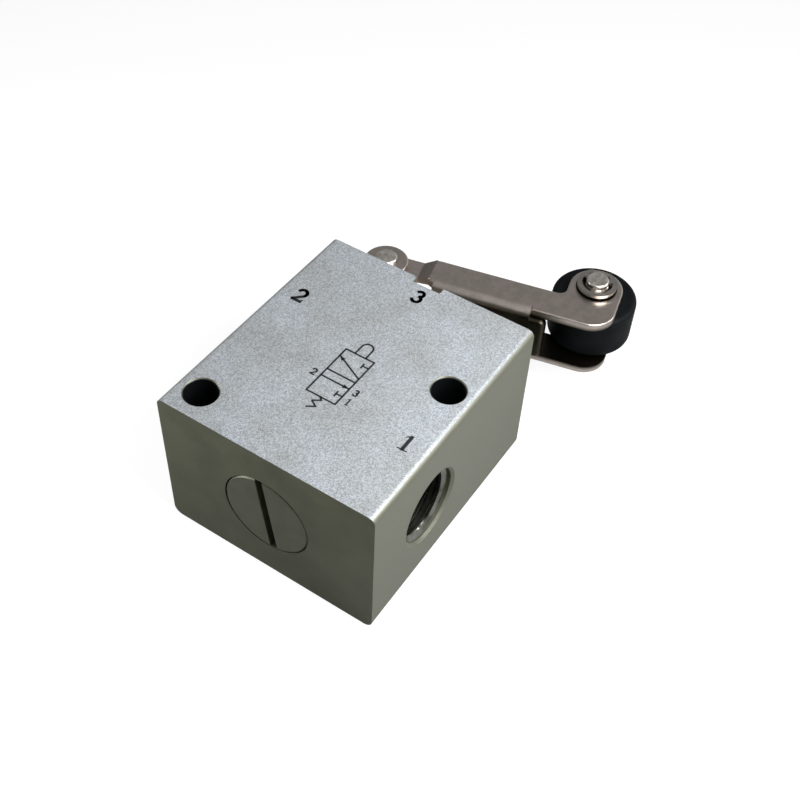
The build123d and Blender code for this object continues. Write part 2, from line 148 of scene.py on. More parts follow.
@dataclass(frozen=True)
class Finish:
    """A surface: what it is made of, how it was made, and how it meets the light."""

    name: str
    colour: str
    tint: str
    metallic: float
    roughness: float
    grain_mm: float = 0.3
    grain_depth_mm: float = 0.004
    grain_contrast: float = 0.05
    cloud_mm: float = 3.0
    specular: float = 0.5

    def shader(self, tree: bpy.types.NodeTree) -> bpy.types.Node:
        """Add the principled shader with this finish's own numbers on its sockets."""
        inputs = {
            "Base Color": linear(self.colour),
            "Metallic": self.metallic,
            "Roughness": self.roughness,
            "Specular IOR Level": self.specular,
        }
        return add_node(tree, "BsdfPrincipled", inputs)

    def place(self, tree: bpy.types.NodeTree) -> bpy.types.NodeSocket:
        """Give the object's own coordinates, in metres."""
        return add_node(tree, "TexCoord").outputs["Object"]

    def noise(self, tree: bpy.types.NodeTree, size_mm: float, detail: float = 2.0) -> bpy.types.NodeSocket:
        """Add a noise whose spots are about this size, and give its value."""
        inputs = {"Vector": self.place(tree), "Scale": 1 / (size_mm * MM), "Detail": detail, "Roughness": 0.55}
        return add_node(tree, "TexNoise", inputs).outputs["Fac"]

    def streaks(
        self, tree: bpy.types.NodeTree, size_mm: float, squeeze: tuple[float, float, float]
    ) -> bpy.types.NodeSocket:
        """Add a noise that is drawn out along an axis.

        Args:
            tree: The node tree.
            size_mm: Width of a streak.
            squeeze: Factor on each axis, under 1 along the streaks.

        Returns:
            The noise's value.
        """
        moved = add_node(tree, "Mapping", {"Vector": self.place(tree), "Scale": squeeze}).outputs["Vector"]
        inputs = {"Vector": moved, "Scale": 1 / (size_mm * MM), "Detail": 2.0}
        return add_node(tree, "TexNoise", inputs).outputs["Fac"]

    def blend(
        self, tree: bpy.types.NodeTree, share: bpy.types.NodeSocket, low: object, high: object
    ) -> bpy.types.NodeSocket:
        """Mix two colours by a share from 0 to 1."""
        return add_node(tree, "Mix", {"Factor": share, 6: low, 7: high}, data_type="RGBA").outputs[2]

    def shade(
        self, tree: bpy.types.NodeTree, colour: bpy.types.NodeSocket, noise: bpy.types.NodeSocket, amount: float
    ) -> bpy.types.NodeSocket:
        """Lighten and darken a colour by a noise.

        Args:
            tree: The node tree.
            colour: The colour.
            noise: The value to follow, mostly between 0.3 and 0.7.
            amount: The largest change, as a share of the colour.

        Returns:
            The changed colour.
        """
        inputs = {"Value": noise, "From Min": 0.3, "From Max": 0.7, "To Min": 1 - amount, "To Max": 1 + amount}
        value = add_node(tree, "MapRange", inputs).outputs["Result"]
        return add_node(tree, "VectorMath", {0: colour, "Scale": value}, operation="SCALE").outputs["Vector"]

    def bump(
        self, tree: bpy.types.NodeTree, height: bpy.types.NodeSocket, depth_mm: float
    ) -> bpy.types.NodeSocket:
        """Turn a height to a bent normal."""
        return add_node(tree, "Bump", {"Height": height, "Distance": depth_mm * MM}).outputs["Normal"]

    def near_axis(
        self, tree: bpy.types.NodeTree, axis: tuple[float, float], reach_mm: float
    ) -> bpy.types.NodeSocket:
        """Give 1 about an axis that stands along Z, and 0 away from it.

        Args:
            tree: The node tree.
            axis: The axis's X and Y, in millimetres.
            reach_mm: How far from the axis the 1 reaches.

        Returns:
            The value.
        """
        flat = add_node(tree, "VectorMath", {0: self.place(tree), 1: (1.0, 1.0, 0.0)}, operation="MULTIPLY")
        middle = (axis[0] * MM, axis[1] * MM, 0.0)
        away = add_node(tree, "VectorMath", {0: flat.outputs["Vector"], 1: middle}, operation="DISTANCE")
        inputs = {0: away.outputs["Value"], 1: reach_mm * MM}
        return add_node(tree, "Math", inputs, operation="LESS_THAN").outputs["Value"]

    def clouded(self, tree: bpy.types.NodeTree, colour: object, tint: object) -> bpy.types.NodeSocket:
        """Mix the colour and the tint in soft clouds."""
        inputs = {"Value": self.noise(tree, self.cloud_mm, 3.0), "From Min": 0.35, "From Max": 0.65}
        return self.blend(tree, add_node(tree, "MapRange", inputs).outputs["Result"], colour, tint)

    def dress(self, tree: bpy.types.NodeTree, shader: bpy.types.Node) -> None:
        """Link the clouds and the grain to the shader."""
        grain = self.noise(tree, self.grain_mm)
        colour = self.clouded(tree, linear(self.colour), linear(self.tint))
        tree.links.new(self.shade(tree, colour, grain, self.grain_contrast), shader.inputs["Base Color"])
        tree.links.new(self.bump(tree, grain, self.grain_depth_mm), shader.inputs["Normal"])

    def material(self) -> bpy.types.Material:
        """Build the material."""
        made = bpy.data.materials.new(self.name)
        made.use_nodes = True
        tree = made.node_tree
        tree.nodes.clear()
        shader = self.shader(tree)
        self.dress(tree, shader)
        add_node(tree, "OutputMaterial", {"Surface": shader.outputs["BSDF"]})
        return made


@dataclass(frozen=True)
class BlastedAnodised(Finish):
    """Extruded aluminium, bead blasted on its front and back and anodised all over.

    The blasted faces sparkle in fine grains. The sides keep the faint lines of the die that they
    were drawn through. The sides and the sawn and milled ends are darker, partly for their finish
    and partly as painted shade, and the ends' painted shade deepens towards the back face. The
    walls of the bolt holes are painted near black, as painted shade.
    """

    # Partly the finish's own tone and partly painted shade: the sides and the ends are coloured darker than the
    # front and back.
    side_colour: str = "#6b6c5f"
    end_colour: str = "#5d604a"
    end_tint: str = "#50533f"
    # Painted shade: the ends darken towards the back face, down to this share of their colour.
    low_shade: float = 0.72
    # Painted shade: the walls of the bolt holes are coloured near black.
    bore_colour: str = "#121517"
    side_roughness: float = 0.42
    line_mm: float = 0.25
    line_stretch: float = 5.0
    line_depth: float = 0.15
    line_contrast: float = 0.035
    block_mm: float = 28.3
    skin_mm: float = 1.6
    bores: tuple[tuple[float, float], ...] = ()
    bore_reach: float = 2.84

    def dress(self, tree: bpy.types.NodeTree, shader: bpy.types.Node) -> None:
        """Link the three kinds of face, their grain and their roughness to the shader."""
        axes = add_node(tree, "SeparateXYZ", {"Vector": add_node(tree, "TexCoord").outputs["Normal"]})
        height = add_node(tree, "SeparateXYZ", {"Vector": self.place(tree)}).outputs["Z"]
        facing = self.facing(tree, axes.outputs["Z"])
        front = add_node(tree, "Math", {0: facing, 1: self.outside(tree, height)}, operation="MULTIPLY").outputs[0]
        end = self.facing(tree, axes.outputs["Y"])
        long = 1 / self.line_stretch
        drawn = self.streaks(tree, self.line_mm, (1.0, long, 1.0))
        milled = self.streaks(tree, self.line_mm, (long, 1.0, 1.0))
        lines = add_node(tree, "Mix", {"Factor": end, 2: drawn, 3: milled}).outputs[0]
        grains = self.grains(tree)
        texture = add_node(tree, "Mix", {"Factor": front, 2: lines, 3: grains}).outputs[0]

        # Painted shade: the ends' colour darkens with height towards the back face.
        inputs = {"Value": height, "From Max": self.block_mm * MM, "To Min": self.low_shade}
        lower = add_node(tree, "MapRange", inputs).outputs["Result"]
        ends = self.clouded(tree, linear(self.end_colour), linear(self.end_tint))
        ends = add_node(tree, "VectorMath", {0: ends, "Scale": lower}, operation="SCALE").outputs["Vector"]
        blasted = self.clouded(tree, linear(self.colour), linear(self.tint))
        blasted = self.shade(tree, blasted, grains, self.grain_contrast)
        # Partly painted shade: the sides and the ends take their darker colours here.
        colour = self.blend(tree, end, linear(self.side_colour), ends)
        colour = self.shade(tree, colour, lines, self.line_contrast)
        colour = self.blend(tree, front, colour, blasted)
        # Painted shade: each bolt hole's wall is coloured near black.
        for bore in self.bores:
            wall = self.near_axis(tree, bore, self.bore_reach)
            colour = self.blend(tree, wall, colour, linear(self.bore_colour))
        tree.links.new(colour, shader.inputs["Base Color"])

        rough = {"Value": front, "To Min": self.side_roughness, "To Max": self.roughness}
        tree.links.new(add_node(tree, "MapRange", rough).outputs["Result"], shader.inputs["Roughness"])
        depth = add_node(tree, "MapRange", {"Value": front, "To Min": self.line_depth}).outputs["Result"]
        relief = add_node(tree, "Math", {0: texture, 1: depth}, operation="MULTIPLY").outputs["Value"]
        tree.links.new(self.bump(tree, relief, self.grain_depth_mm), shader.inputs["Normal"])

    def facing(self, tree: bpy.types.NodeTree, axis: bpy.types.NodeSocket) -> bpy.types.NodeSocket:
        """Give 1 on the faces that look along an axis, either way, and 0 on the others."""
        size = add_node(tree, "Math", {0: axis}, operation="ABSOLUTE").outputs["Value"]
        return add_node(tree, "MapRange", {"Value": size, "From Min": 0.75, "From Max": 0.95}).outputs["Result"]

    def outside(self, tree: bpy.types.NodeTree, height: bpy.types.NodeSocket) -> bpy.types.NodeSocket:
        """Give 1 at the block's front and back, and 0 on walls inside it, which aren't blasted."""
        middle = self.block_mm * MM / 2
        above = add_node(tree, "Math", {0: height, 1: middle}, operation="SUBTRACT").outputs["Value"]
        away = add_node(tree, "Math", {0: above}, operation="ABSOLUTE").outputs["Value"]
        inputs = {0: away, 1: middle - self.skin_mm * MM}
        return add_node(tree, "Math", inputs, operation="GREATER_THAN").outputs["Value"]

    def grains(self, tree: bpy.types.NodeTree) -> bpy.types.NodeSocket:
        """Give each blasted grain a brightness of its own, softened by a finer noise."""
        inputs = {"Vector": self.place(tree), "Scale": 1 / (self.grain_mm * MM)}
        cells = add_node(tree, "TexVoronoi", inputs).outputs["Color"]
        fine = self.noise(tree, self.grain_mm * 0.6)
        return add_node(tree, "Mix", {"Factor": 0.35, 2: cells, 3: fine}).outputs[0]


@dataclass(frozen=True)
class Turned(Finish):
    """Metal turned on a lathe, with fine rings about the valve's bore."""

    ring_mm: float = 0.22
    bore_height_mm: float = 14.15

    def dress(self, tree: bpy.types.NodeTree, shader: bpy.types.Node) -> None:
        """Link the clouds and the tool's rings to the shader."""
        inputs = {"Vector": self.place(tree), "Location": (0.0, 0.0, -self.bore_height_mm * MM)}
        centred = add_node(tree, "Mapping", inputs).outputs["Vector"]
        flat = add_node(tree, "VectorMath", {0: centred, 1: (1.0, 0.0, 1.0)}, operation="MULTIPLY")
        radius = add_node(tree, "VectorMath", {0: flat.outputs["Vector"]}, operation="LENGTH").outputs["Value"]
        inputs = {"W": radius, "Scale": 1 / (self.ring_mm * MM), "Detail": 2.0}
        rings = add_node(tree, "TexNoise", inputs, noise_dimensions="1D").outputs["Fac"]
        colour = self.clouded(tree, linear(self.colour), linear(self.tint))
        tree.links.new(self.shade(tree, colour, rings, self.grain_contrast), shader.inputs["Base Color"])
        tree.links.new(self.bump(tree, rings, self.grain_depth_mm), shader.inputs["Normal"])


@dataclass(frozen=True)
class ShadedSheet(Finish):
    """Plated sheet bent to a channel, with painted shade between its two sides.

    The painted shade reaches from the roller to where the channel narrows. More painted shade lies
    round the roller's pin, under the ring that holds it.
    """

    # Painted shade laid inside the channel and round the roller's pin.
    grease_colour: str = "#403c34"
    channel_mm: float = 4.55
    clean_mm: float = 5.3
    middle_mm: float = 14.15
    grease_from_mm: float = -3.0
    grease_full_mm: float = 4.0
    pin: tuple[float, float] = (0.0, 0.0)
    pin_reach_mm: float = 3.7

    def dress(self, tree: bpy.types.NodeTree, shader: bpy.types.Node) -> None:
        """Link the clouds, the grain and the painted shade in the channel to the shader."""
        grain = self.noise(tree, self.grain_mm)
        colour = self.clouded(tree, linear(self.colour), linear(self.tint))
        axes = add_node(tree, "SeparateXYZ", {"Vector": self.place(tree)}).outputs
        inputs = {0: axes["Z"], 1: self.middle_mm * MM}
        above = add_node(tree, "Math", inputs, operation="SUBTRACT").outputs["Value"]
        away = add_node(tree, "Math", {0: above}, operation="ABSOLUTE").outputs["Value"]
        inputs = {"Value": away, "From Min": self.clean_mm * MM, "From Max": self.channel_mm * MM}
        inside = add_node(tree, "MapRange", inputs).outputs["Result"]
        ends = {"From Min": self.grease_from_mm * MM, "From Max": self.grease_full_mm * MM}
        reach = add_node(tree, "MapRange", {"Value": axes["X"], **ends}).outputs["Result"]
        spread = add_node(tree, "Math", {0: inside, 1: reach}, operation="MULTIPLY").outputs["Value"]
        inputs = {0: spread, 1: self.near_axis(tree, self.pin, self.pin_reach_mm)}
        # Painted shade: the sheet is darkened inside the channel and round the roller's pin.
        painted_shade = add_node(tree, "Math", inputs, operation="MAXIMUM").outputs["Value"]
        colour = self.blend(tree, painted_shade, colour, linear(self.grease_colour))
        tree.links.new(self.shade(tree, colour, grain, self.grain_contrast), shader.inputs["Base Color"])
        tree.links.new(self.bump(tree, grain, self.grain_depth_mm), shader.inputs["Normal"])


@dataclass(frozen=True)
class PrintInk(Finish):
    """Screen-printed epoxy ink, a thin flat film."""

    def dress(self, tree: bpy.types.NodeTree, shader: bpy.types.Node) -> None:
        """Link a faint unevenness of the ink's density."""
        colour = self.clouded(tree, linear(self.colour), linear(self.tint))
        tree.links.new(colour, shader.inputs["Base Color"])


# Anodised aluminium: a pale blue-grey that sparkles. Real bead marks are about 0.1 mm, too fine to
# show in the render, so the grains are drawn two to three times as coarse.
ANODISED_BLOCK = BlastedAnodised(
    name="blasted_anodised_aluminium",
    colour="#bcc2c8",
    tint="#b0b4b6",
    metallic=0.5,
    roughness=0.5,
    grain_mm=0.16,
    grain_depth_mm=0.02,
    grain_contrast=0.3,
    cloud_mm=9.0,
)

# Anodised aluminium, turned on the lathe: the same olive grey as the block's milled ends, partly its own tone and
# partly painted shade.
PLUG_METAL = Turned(
    name="turned_anodised_aluminium",
    colour="#505340",
    tint="#484b39",
    metallic=0.35,
    roughness=0.4,
    grain_depth_mm=0.003,
)

# Aluminium thread, cut after anodising: bare and bright, with dark smears of cutting oil.
THREAD_METAL = Finish(
    name="cut_thread_aluminium",
    colour="#8c8d86",
    tint="#55564e",
    metallic=0.96,
    roughness=0.2,
)

# Aluminium, fine turned for a sliding seal: bright, with hardly any rings.
SPOOL_METAL = Turned(
    name="fine_turned_aluminium",
    colour="#b8b9ba",
    tint="#adaeaf",
    metallic=1.0,
    roughness=0.25,
    grain_depth_mm=0.002,
)

# Brass bush, turned: warm yellow with fine rings.
BUSH_BRASS = Turned(
    name="turned_brass",
    colour="#b79a5a",
    tint="#a88a4c",
    metallic=1.0,
    roughness=0.3,
    grain_depth_mm=0.003,
)

# Hardened steel, ground and polished: the smoothest surface of the valve.
GROUND_STEEL = Finish(
    name="ground_steel",
    colour="#b4b3b0",
    tint="#a9a8a5",
    metallic=1.0,
    roughness=0.16,
    grain_depth_mm=0.001,
)

# Cold rolled sheet, pressed, tumbled and nickel plated: a warm brownish grey, softly mottled.
PLATED_SHEET = Finish(
    name="nickel_plated_pressed_sheet",
    colour="#cabeb8",
    tint="#bab2a8",
    metallic=1.0,
    roughness=0.3,
    grain_mm=0.7,
    grain_depth_mm=0.012,
    grain_contrast=0.05,
    cloud_mm=2.2,
)

# The lever's sheet, of the same steel as the bracket's, with painted shade inside the channel.
LEVER_SHEET = ShadedSheet(
    name="shaded_lever_sheet",
    colour=PLATED_SHEET.colour,
    tint=PLATED_SHEET.tint,
    metallic=PLATED_SHEET.metallic,
    roughness=PLATED_SHEET.roughness,
    grain_mm=PLATED_SHEET.grain_mm,
    grain_depth_mm=PLATED_SHEET.grain_depth_mm,
    grain_contrast=PLATED_SHEET.grain_contrast,
    cloud_mm=PLATED_SHEET.cloud_mm,
)

# Nickel plated spring steel and screws: brighter and cooler than the pressed sheet.
PLATED_STEEL = Finish(
    name="nickel_plated_steel",
    colour="#bdb8b1",
    tint="#aaa69f",
    metallic=1.0,
    roughness=0.24,
)

# Nickel plated pins, whose ends were hammered over: pitted, so they glint in small spots.
PEENED_STEEL = Finish(
    name="peened_plated_steel",
    colour="#efe9e1",
    tint="#c4beb6",
    metallic=1.0,
    roughness=0.3,
    grain_mm=0.8,
    grain_depth_mm=0.07,
    grain_contrast=0.12,
    cloud_mm=0.9,
)

# Drawn spring wire: dull grey.
SPRING_STEEL = Finish(
    name="drawn_spring_wire",
    colour="#8c8c8e",
    tint="#7c7c7e",
    metallic=1.0,
    roughness=0.34,
)

# Moulded polyurethane: near black, with a blue-green cast and a soft skin shine.
ROLLER_PLASTIC = Finish(
    name="moulded_black_polyurethane",
    colour="#030405",
    tint="#080d10",
    metallic=0.0,
    roughness=0.6,
    grain_mm=0.5,
    grain_depth_mm=0.006,
    grain_contrast=0.12,
    specular=0.12,
)

# Nitrile rubber: matt black.
SEAL_RUBBER = Finish(name="nitrile_rubber", colour="#141414", tint="#1a1a1a", metallic=0.0, roughness=0.6)

# Black print, slightly uneven in its density.
PRINT_INK = PrintInk(
    name="black_print_ink",
    colour="#141518",
    tint="#1f2124",
    metallic=0.0,
    roughness=0.5,
    cloud_mm=0.6,
)


class Slot(Enum):
    """The record's material slots, each with the finish that dresses it."""

    ANODISED_BLOCK = ANODISED_BLOCK
    PLUG_METAL = PLUG_METAL
    SPOOL_METAL = SPOOL_METAL
    BUSH_BRASS = BUSH_BRASS
    GROUND_STEEL = GROUND_STEEL
    PLATED_SHEET = PLATED_SHEET
    PLATED_STEEL = PLATED_STEEL
    SPRING_STEEL = SPRING_STEEL
    ROLLER_PLASTIC = ROLLER_PLASTIC
    SEAL_RUBBER = SEAL_RUBBER


NODE_FINISHES = {"lever": LEVER_SHEET, "pivot_pin": PEENED_STEEL, "roller_pin": PEENED_STEEL}


@dataclass
class Wardrobe:
    """Builds each finish's material once and puts it on pieces."""

    made: dict[str, bpy.types.Material] = field(default_factory=dict)

    def material(self, finish: Finish) -> bpy.types.Material:
        """Give a finish's material, building it the first time."""
        if finish.name not in self.made:
            self.made[finish.name] = finish.material()
        return self.made[finish.name]

    def put_on(self, piece: bpy.types.Object, finish: Finish) -> None:
        """Dress a piece in one finish."""
        piece.data.materials.clear()
        piece.data.materials.append(self.material(finish))


def new_piece(name: str, mesh: bmesh.types.BMesh, smooth_below: float = 35.0) -> bpy.types.Object:
    """Make an object at the origin from a mesh in millimetres.

    Args:
        name: The piece's name.
        mesh: Its shape, which is freed here.
        smooth_below: Edges that turn by less than this many degrees are shaded smooth.

    Returns:
        The linked object, its mesh in metres.
    """
    bmesh.ops.scale(mesh, vec=(MM, MM, MM), verts=mesh.verts)
    data = bpy.data.meshes.new(name)
    mesh.to_mesh(data)
    mesh.free()
    data.shade_smooth()
    data.set_sharp_from_angle(angle=math.radians(smooth_below))
    piece = bpy.data.objects.new(name, data)
    bpy.context.scene.collection.objects.link(piece)
    return piece


def place(mesh: bmesh.types.BMesh, origin: Vector, x_axis: Vector, z_axis: Vector) -> None:
    """Move a mesh so that its own X and Z point along two directions and its origin is at a point."""
    z_axis = z_axis.normalized()
    y_axis = z_axis.cross(x_axis).normalized()
    turn = Matrix((y_axis.cross(z_axis), y_axis, z_axis)).transposed().to_4x4()
    bmesh.ops.transform(mesh, matrix=Matrix.Translation(origin) @ turn, verts=mesh.verts)


@dataclass
class PortThread:
    """Pipe thread inside a port, a ridge wound on the port's wall."""

    pitch: float = 1.337
    wall_radius: float = 6.58
    crest_radius: float = 5.74
    crest_width: float = 0.3
    sunk: float = 0.06
    first_turn: float = 0.8
    depth: float = 10.2
    steps_per_turn: int = 60
    fade_turns: float = 0.45

    def profile(self) -> list[tuple[float, float]]:
        """Give the ridge's section as stations along the axis and radii."""
        base = self.pitch / 2 - 0.02
        shoulder = self.crest_radius + 0.12
        outside = self.wall_radius + self.sunk
        half = self.crest_width / 2
        return [(-base, outside), (-half - 0.07, shoulder), (-half, self.crest_radius),
                (half, self.crest_radius), (half + 0.07, shoulder), (base, outside)]

    def mesh(self) -> bmesh.types.BMesh:
        """Wind the ridge down the Z axis from the port's mouth at Z = 0."""
        mesh = bmesh.new()
        corners = [mesh.verts.new((radius, 0, -self.first_turn - along)) for along, radius in self.profile()]
        section = mesh.faces.new(corners)
        turns = (self.depth - self.first_turn) / self.pitch
        steps = round(turns * self.steps_per_turn)
        bmesh.ops.spin(
            mesh,
            geom=[section, *section.edges, *section.verts],
            cent=(0, 0, 0),
            axis=(0, 0, 1),
            dvec=(0, 0, -self.pitch * turns / steps),
            angle=math.tau * turns,
            steps=steps,
        )
        self.fade_ends(mesh, turns)
        bmesh.ops.recalc_face_normals(mesh, faces=mesh.faces)
        return mesh

    def fade_ends(self, mesh: bmesh.types.BMesh, turns: float) -> None:
        """Let the ridge rise from the wall over its first and last part turn."""
        outside = self.wall_radius + self.sunk
        for vert in mesh.verts:
            radius = math.hypot(vert.co.x, vert.co.y)
            travelled = (-vert.co.z - self.first_turn) / self.pitch
            share = min(travelled / self.fade_turns, (turns - travelled) / self.fade_turns, 1.0)
            wanted = outside - (outside - radius) * max(share, 0.02)
            vert.co.x *= wanted / radius
            vert.co.y *= wanted / radius


Point = tuple[float, float]


@dataclass
class PrintedMarks:
    """Port numbers and the plain symbol of a three-port valve, printed in black on the front."""

    film: float = 0.02
    line: float = 0.3
    number_height: float = 3.1
    small_number_height: float = 1.4
    stroke_share: float = 0.19
    serif_share: float = 0.07
    head_length: float = 1.0
    head_half_width: float = 0.42
    arc_steps: int = 12

    def numbers_at(self) -> list[tuple[str, Point, float]]:
        """Give each number with its centre on the face and its height."""
        big, small = self.number_height, self.small_number_height
        return [
            ("2", (-15.8, 7.9), big),
            ("3", (0.2, 18.9), big),
            ("1", (15.8, -8.5), big),
            ("2", (-3.9, -4.7), small),
            ("3", (4.1, -4.7), small),
            ("1", (4.1, -6.9), small),
        ]

    def arc(self, centre: Point, radius: float, start: float, end: float) -> list[Point]:
        """Give the points of an arc between two angles in degrees."""
        turns = [math.radians(start + (end - start) * i / self.arc_steps) for i in range(self.arc_steps + 1)]
        return [(centre[0] + radius * math.cos(t), centre[1] + radius * math.sin(t)) for t in turns]

    def glyph(self, number: str) -> tuple[list[list[Point]], list[list[Point]]]:
        """Give a number's heavy strokes and its serifs, for a height of 1 from -0.5 to 0.5."""
        if number == "1":
            return [[(0.02, 0.46), (0.02, -0.46)]], [[(-0.24, -0.46), (0.28, -0.46)], [(-0.2, 0.32), (0.0, 0.46)]]
        if number == "2":
            bow = self.arc((0.0, 0.19), 0.25, 165, -40)
            return [bow + [(-0.25, -0.42), (0.27, -0.42)]], [[(0.29, -0.42), (0.29, -0.24)]]
        upper = self.arc((-0.02, 0.22), 0.2, 150, -75)
        lower = self.arc((-0.02, -0.2), 0.24, 75, -155)
        return [upper, lower], []

    def symbol_lines(self) -> list[list[Point]]:
        """Give the symbol's lines: boxes, flow arrows, stops, push rod and spring."""
        left, right, bottom, middle, top = -2.6, 2.75, -8.4, -3.0, 2.2
        rod_left, rod_right, rod_height = -0.9, 1.1, 4.1
        frame = [(left, bottom), (right, bottom), (right, top), (left, top), (left, bottom)]
        rod = [(rod_right, top), *self.arc((0.1, rod_height), 1.0, 0, 180), (rod_left, top)]
        spring = [(0.0, bottom), (0.6, -8.9), (-0.6, -9.7), (0.6, -10.4), (-0.6, -11.2)]
        flows = [[(right, -2.1), (left, 0.5)], [(left, -4.6), (right, -4.6)]]
        stops = [[(1.6, y), (right, y)] for y in (0.6, -6.5)]
        bars = [[(1.6, y - 0.5), (1.6, y + 0.5)] for y in (0.6, -6.5)]
        return [frame, [(left, middle), (right, middle)], rod, spring, *flows, *stops, *bars]

    def arrow_heads(self) -> list[tuple[Point, Point]]:
        """Give the tip of each arrow head and the direction in which it points."""
        return [((-2.45, 0.42), (-0.9, 0.44)), ((2.6, -4.6), (1.0, 0.0))]

    def draw(self, mesh: bmesh.types.BMesh, points: list[Point], width: float) -> None:
        """Print a line through some points, its ends squared off past them.

        Args:
            mesh: The mesh that gets the line.
            points: The corners of the line.
            width: Its width.
        """
        for start, end in zip(points, points[1:]):
            along = Vector(end) - Vector(start)
            middle = (Vector(start) + Vector(end)) / 2
            made = bmesh.ops.create_cube(mesh, size=1.0)["verts"]
            size = Matrix.Diagonal((along.length + width * 0.7, width, self.film, 1.0))
            turn = Matrix.Rotation(math.atan2(along.y, along.x), 4, "Z")
            there = Matrix.Translation((middle.x, middle.y, self.film / 2))
            bmesh.ops.transform(mesh, matrix=there @ turn @ size, verts=made)

    def head(self, mesh: bmesh.types.BMesh, tip: Point, way: Point) -> None:
        """Print one arrow head with its tip at a point."""
        made = bmesh.ops.create_circle(mesh, segments=3, radius=1.0, cap_ends=True)["verts"]
        corners = ((0, 0), (-self.head_length, self.head_half_width), (-self.head_length, -self.head_half_width))
        for vert, (x, y) in zip(made, corners):
            vert.co = (x, y, 0)
        turn = Matrix.Rotation(math.atan2(way[1], way[0]), 4, "Z")
        bmesh.ops.transform(mesh, matrix=Matrix.Translation((*tip, 0)) @ turn, verts=made)
        grown = bmesh.ops.extrude_face_region(mesh, geom=[made[0].link_faces[0]])["geom"]
        top = [part for part in grown if isinstance(part, bmesh.types.BMVert)]
        bmesh.ops.translate(mesh, vec=(0, 0, self.film), verts=top)

    def symbol(self, face_height: float) -> bpy.types.Object:
        """Print the symbol at this height."""
        mesh = bmesh.new()
        for line in self.symbol_lines():
            self.draw(mesh, line, self.line)
        for tip, way in self.arrow_heads():
            self.head(mesh, tip, way)
        bmesh.ops.translate(mesh, vec=(0, 0, face_height), verts=mesh.verts)
        bmesh.ops.recalc_face_normals(mesh, faces=mesh.faces)
        return new_piece("printed_symbol", mesh)

    def numbers(self, face_height: float) -> bpy.types.Object:
        """Print the port numbers at this height."""
        mesh = bmesh.new()
        for number, (x, y), height in self.numbers_at():
            for lines, share in zip(self.glyph(number), (self.stroke_share, self.serif_share)):
                for line in lines:
                    placed = [(x + height * along, y + height * up) for along, up in line]
                    self.draw(mesh, placed, height * share)
        bmesh.ops.translate(mesh, vec=(0, 0, face_height), verts=mesh.verts)
        return new_piece("printed_numbers", mesh)


@dataclass
class ButtonScrew:
    """Pan-head machine screw with a hexagon socket, for the bracket's base."""

    head_diameter: float = 5.4
    head_height: float = 1.9
    rim_height: float = 0.35
    shank_diameter: float = 2.9
    length: float = 8.0
    socket_across_corners: float = 2.25
    socket_depth: float = 1.1
    top_radius: float = 1.35
    segments: int = 48

    def mesh(self) -> bmesh.types.BMesh:
        """Build the screw along Z, seated at Z = 0 with its shank below."""
        mesh = bmesh.new()
        rim, top = self.head_diameter / 2, self.top_radius
        dome = [(rim, self.rim_height)]
        for i in range(1, 9):
            angle = math.pi / 2 * i / 8
            x = top + (rim - top) * math.cos(angle)
            dome.append((x, self.rim_height + (self.head_height - self.rim_height) * math.sin(angle)))
        shank = self.shank_diameter / 2
        path = [(shank - 0.3, -self.length), (shank, -self.length + 0.3), (shank, 0.0), (rim, 0.0), *dome]
        verts = [mesh.verts.new((x, 0, z)) for x, z in path]
        edges = [mesh.edges.new(pair) for pair in zip(verts, verts[1:])]
        bmesh.ops.spin(
            mesh,
            geom=[*verts, *edges],
            cent=(0, 0, 0),
            axis=(0, 0, 1),
            dvec=(0, 0, 0),
            angle=math.tau,
            steps=self.segments,
            use_merge=True,
        )
        open_edges = [e for e in mesh.edges if e.is_boundary]
        low = [e for e in open_edges if e.verts[0].co.z < 0]
        high = [e for e in open_edges if e.verts[0].co.z > 0]
        bmesh.ops.contextual_create(mesh, geom=low)
        socket = bmesh.ops.create_circle(mesh, segments=6, radius=self.socket_across_corners / 2)["verts"]
        bmesh.ops.translate(mesh, vec=(0, 0, self.head_height), verts=socket)
        corners = list({e for v in socket for e in v.link_edges})
        bmesh.ops.bridge_loops(mesh, edges=high + corners)
        walls = bmesh.ops.extrude_edge_only(mesh, edges=corners)["geom"]
        floor = [g for g in walls if isinstance(g, bmesh.types.BMVert)]
        bmesh.ops.translate(mesh, vec=(0, 0, -self.socket_depth), verts=floor)
        bmesh.ops.contextual_create(mesh, geom=[e for e in mesh.edges if e.is_boundary])
        bmesh.ops.recalc_face_normals(mesh, faces=mesh.faces)
        return mesh


@dataclass
class ValveBlock:
    """The block with what is cut into it and printed on it, and what is fixed inside."""

    thread: PortThread = field(default_factory=PortThread)
    marks: PrintedMarks = field(default_factory=PrintedMarks)

    def build(self, frame: dict, wardrobe: Wardrobe) -> Iterable[bpy.types.Object]:
        """Make the port threads and the print.

        Args:
            frame: The loaded model.
            wardrobe: The finishes.

        Yields:
            Each new piece, dressed and riding on the block.
        """
        low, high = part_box("block")
        for mount in frame["record"]["mounts"]:
            if mount["kind"] == "threaded_hole":
                yield self.port_thread(mount, high.x / MM, wardrobe)
        for piece in (self.marks.symbol(high.z / MM), self.marks.numbers(high.z / MM)):
            wardrobe.put_on(piece, PRINT_INK)
            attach(piece, "block")
            yield piece

    def port_thread(self, mount: dict, side: float, wardrobe: Wardrobe) -> bpy.types.Object:
        """Make the thread of one port.

        Args:
            mount: The port's mount in the record.
            side: Distance of the port's mouth from the block's middle.
            wardrobe: The finishes.

        Returns:
            The thread.
        """
        out = Vector(mount["axis"])
        mesh = self.thread.mesh()
        middle = Vector(mount["pos_m"]) / MM
        mouth = Vector((out.x * side, middle.y, middle.z))
        place(mesh, mouth, Vector((0, 0, 1)), out)
        piece = new_piece(mount["name"].replace("port", "thread"), mesh)
        wardrobe.put_on(piece, THREAD_METAL)
        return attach(piece, "block")


